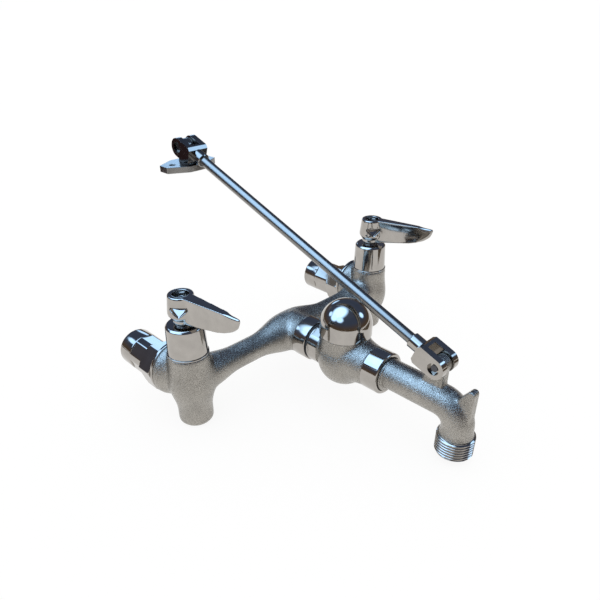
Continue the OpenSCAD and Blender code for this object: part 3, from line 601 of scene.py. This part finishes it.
def make_inlet(side_name):
    """Eccentric inlet: flange, hexagon, flats and a bored collar, each with soft edges."""
    node_name = side_name + "_inlet"
    turn = math.radians(INLET_TURN[side_name])
    valve_x = SIDE[side_name] * VALVE_X
    centre_x, centre_z = valve_x + INLET_OFFSET * math.cos(turn), INLET_OFFSET * math.sin(turn)

    def turned(part, profile, x, y, z, soft, flat=None):
        return lathe(node_name + part, rounded(profile, soft), (x, y, z), "into_wall", node_name,
                     turns=144, flat=flat, twist_deg=INLET_TWIST)

    thick = HEX_Y - FLANGE_Y
    flange = [(PASSAGE_R, -SPIGOT_LEN), (SPIGOT_R, -SPIGOT_LEN), (SPIGOT_R, 0), (FLANGE_R, 0),
              (FLANGE_R, thick), (PASSAGE_R, thick)]
    turned("_flange", flange, valve_x, FLANGE_Y, 0, 0.6)
    thick = FLATS_Y - HEX_Y
    swell = INLET_HEX_R + HEX_SWELL
    hexagon = [(PASSAGE_R, 0), (INLET_HEX_R, 0), (swell, HEX_CHAMFER), (swell, thick - HEX_CHAMFER),
               (INLET_HEX_R - HEX_SHOULDER, thick), (PASSAGE_R, thick)]
    turned("_hexagon", hexagon, centre_x, HEX_Y, centre_z, 0.3, INLET_HEX)
    thick = COLLAR_Y - FLATS_Y
    turned("_flats", [(COLLAR_R, 0), (COLLAR_R, thick)], centre_x, FLATS_Y, centre_z, 0, INLET_FLATS)
    long = WALL_FACE_Y - COLLAR_Y
    collar = [(PASSAGE_R, 0), (COLLAR_R, 0), (COLLAR_R, long), (PIPE_R + PIPE_CHAMFER, long),
              (PIPE_R, long - PIPE_CHAMFER), (PIPE_R, -1), (PASSAGE_R, -1),
              (PASSAGE_R, FLANGE_Y - COLLAR_Y)]
    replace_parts(turned("_collar", collar, centre_x, COLLAR_Y, centre_z, 0.7), node_name)


make_castings()
hose_thread()
make_bands()
for side_name in SIDE:
    make_handle(side_name)
    make_handle_screw(side_name)
    make_inlet(side_name)

# Pieces that keep their CAD shape
KEPT = {
    "chrome": ["left_bonnet", "right_bonnet", "left_bonnet_ring", "right_bonnet_ring", "breaker_cap",
               "spout_nut", "lower_clevis"],
    "dim_chrome": ["upper_clevis"],
    "drawn": ["brace_rod", "wall_bracket"],
    "steel": ["left_cartridge", "right_cartridge", "left_inlet_clip", "right_inlet_clip",
              # The pins take steel darkened as painted shade of their recesses
              "left_stop_screw", "right_stop_screw", "left_spindle", "right_spindle"],
    "pin_steel_painted_shade": ["lower_pin", "upper_pin"],
    "brass": ["breaker_air_seat"],
    "rubber": ["yoke_gasket", "left_inlet_seal", "right_inlet_seal", "left_stop_washer",
               "right_stop_washer", "breaker_float_seal", "spout_washer"],
    "plastic": ["breaker_float"],
}
for finish, names in KEPT.items():
    for name in names:
        dress(name, finish)


# Stage: a pale floor, seen by the camera and by mirror rays, and round it a dark cove with
# windows that only mirror rays see. Lengths are in metres.
COVE_RADIUS, COVE_HEIGHT, COVE_SIDES = 1.1, 1.3, 64
COVE_FOOT, COVE_TOP, COVE_FADE = (0.13, 0.092, 0.062), (0.075, 0.10, 0.165), (0.1, 0.55)
ROOF = (0.085, 0.11, 0.175)
SKY = (0.42, 0.67, 1.0)
SOFT_FROM, SOFT_TO = 0.30, 0.52
WINDOW_DISTANCE = 0.95
# Direction from the faucet, width, height and strength
WINDOWS = {
    "window": ((-0.38, 0.24, 0.89), 1.15, 1.40, 4.6),
    "side_window": ((0.62, -0.60, 0.52), 0.36, 0.36, 4.0),
    "left_window": ((-0.72, 0.40, 0.57), 0.62, 0.46, 4.2),
    "back_window": ((-0.42, 0.75, 0.50), 0.36, 0.28, 3.6),
    "right_window": ((0.47, 0.84, 0.28), 0.32, 0.24, 3.0),
    "near_window": ((-0.76, -0.08, 0.66), 0.62, 0.46, 3.8),
}
# Corners and colour of the cards on the floor
CARDS = {
    "dark_card": (((-0.85, 0.42), (-0.15, 0.42), (-0.05, 1.05), (-0.85, 1.05)), (0.055, 0.032, 0.035)),
    "brown_card": (((0.14, -0.66), (0.60, -0.66), (0.60, -0.26), (0.14, -0.26)), (0.14, 0.11, 0.08)),
}
CARD_LIFT = 2 * MM
FLOOR_SIZE, FLOOR_GAP = 40, 0.4 * MM
FLOOR_PLAIN, FLOOR_FAINT, FLOOR_GLOW = 0.8, 0.14, 0.88
WORLD_PLAIN, WORLD_WHITE = 0.9, 1.0
SQUARE = ((-1, -1), (1, -1), (1, 1), (-1, 1))


def seen_directly(tree):
    """1 for camera, glossy and transmission rays, 0 for the others."""
    path = node(tree, "ShaderNodeLightPath")
    most = path.outputs["Is Camera Ray"]
    for name in ("Is Glossy Ray", "Is Transmission Ray"):
        step = node(tree, "ShaderNodeMath", {"operation": "MAXIMUM"})
        tree.links.new(most, step.inputs[0])
        tree.links.new(path.outputs[name], step.inputs[1])
        most = step.outputs[0]
    return most


def floor_shader(tree):
    plain = node(tree, "ShaderNodeBsdfDiffuse", Color=grey(FLOOR_PLAIN))
    faint = node(tree, "ShaderNodeBsdfDiffuse", Color=grey(FLOOR_FAINT))
    white = node(tree, "ShaderNodeEmission", Color=grey(FLOOR_GLOW))
    both = node(tree, "ShaderNodeAddShader")
    tree.links.new(faint.outputs[0], both.inputs[0])
    tree.links.new(white.outputs[0], both.inputs[1])
    return mixed(tree, seen_directly(tree), plain, both)


def cove_shader(tree):
    """Dark brown at the foot of the cove and slate at its top."""
    height = node(tree, "ShaderNodeSeparateXYZ", Vector=object_space(tree)).outputs["Z"]
    colour = tint(tree, ramp(tree, height, 0.0, 1.0, *COVE_FADE), COVE_FOOT, COVE_TOP)
    return node(tree, "ShaderNodeEmission", Color=colour).outputs[0]


def glow(colour, strength=1.0, soft=False):
    """Even light, or one that falls off towards the edges of its panel."""
    def build(tree):
        light = node(tree, "ShaderNodeEmission", Color=(*colour, 1), Strength=strength)
        if not soft:
            return light.outputs[0]
        middle = node(tree, "ShaderNodeVectorMath", {"operation": "DISTANCE"})
        tree.links.new(node(tree, "ShaderNodeTexCoord").outputs["UV"], middle.inputs[0])
        middle.inputs[1].default_value = (0.5, 0.5, 0)
        share = ramp(tree, middle.outputs["Value"], 1.0, 0.0, SOFT_FROM, SOFT_TO)
        return mixed(tree, share, node(tree, "ShaderNodeBsdfTransparent"), light)
    return build


def stage_mesh(name, points, faces, build, seen=False):
    """Adds a stage piece whose shader comes from build. Unless seen, only mirror rays meet it."""
    mat, tree = empty_material(name)
    node(tree, "ShaderNodeOutputMaterial", Surface=build(tree))
    data = bpy.data.meshes.new(name)
    data.from_pydata(points, [], faces)
    data.uv_layers.new()
    data.materials.append(mat)
    piece = add_object(name, data)
    piece.visible_camera = piece.visible_shadow = piece.visible_diffuse = seen


def make_window(name, towards, width, height, strength):
    """A square of soft sky light that faces the faucet from a direction."""
    back = Vector(towards).normalized()
    side = back.cross(Vector((0, 0, 1))).normalized()
    up = side.cross(back)
    at = (cad_low + cad_high) / 2 + back * WINDOW_DISTANCE
    corners = [at + side * sx * width / 2 + up * sz * height / 2 for sx, sz in SQUARE]
    stage_mesh(name, corners, [(0, 1, 2, 3)], glow(SKY, strength, True))


def make_stage():
    low = cad_low.z - FLOOR_GAP
    floor = [(sx * FLOOR_SIZE, sy * FLOOR_SIZE, low) for sx, sy in SQUARE]
    stage_mesh("floor", floor, [(0, 1, 2, 3)], floor_shader, True)
    points, faces = [], []
    for step in range(COVE_SIDES):
        angle = math.tau * step / COVE_SIDES
        for height in (0.0, COVE_HEIGHT):
            points.append((COVE_RADIUS * math.cos(angle), COVE_RADIUS * math.sin(angle), height))
        after = (step + 1) % COVE_SIDES
        faces.append((2 * step, 2 * after, 2 * after + 1, 2 * step + 1))
    stage_mesh("cove", points, faces, cove_shader)
    roof = [(sx * COVE_RADIUS, sy * COVE_RADIUS, COVE_HEIGHT) for sx, sy in SQUARE]
    stage_mesh("roof", roof, [(0, 1, 2, 3)], glow(ROOF))
    for name, window in WINDOWS.items():
        make_window(name, *window)
    for name, (corners, colour) in CARDS.items():
        stage_mesh(name, [(x, y, low + CARD_LIFT) for x, y in corners], [(0, 1, 2, 3)], glow(colour))


def make_world():
    world = bpy.data.worlds.new("studio")
    bpy.context.scene.world = world
    world.use_nodes = True
    tree = world.node_tree
    tree.nodes.clear()
    plain = node(tree, "ShaderNodeBackground", Color=grey(1), Strength=WORLD_PLAIN)
    white = node(tree, "ShaderNodeBackground", Color=grey(1), Strength=WORLD_WHITE)
    node(tree, "ShaderNodeOutputWorld", Surface=mixed(tree, seen_directly(tree), plain, white))


def make_camera():
    data = bpy.data.cameras.new("camera")
    data.sensor_width = SENSOR_MM
    data.lens = FOCAL_PX / PHOTO_PX * SENSOR_MM
    data.shift_x = (PHOTO_PX / 2 - PRINCIPAL_PX[0]) / PHOTO_PX
    data.shift_y = (PRINCIPAL_PX[1] - PHOTO_PX / 2) / PHOTO_PX
    data.clip_start, data.clip_end = 0.01, 100
    camera = add_object("camera", data)
    turn = Matrix.Rotation(math.radians(-CAMERA_AZIMUTH), 4, "Z")
    turn @= Matrix.Rotation(math.radians(90 - CAMERA_ELEVATION), 4, "X")
    turn @= Matrix.Rotation(math.radians(CAMERA_ROLL), 4, "Z")
    camera.matrix_world = Matrix.Translation(Vector(CAMERA_MM) * MM) @ turn
    bpy.context.scene.camera = camera


make_stage()
make_world()
make_camera()
bpy.context.scene.view_settings.view_transform = "Standard"
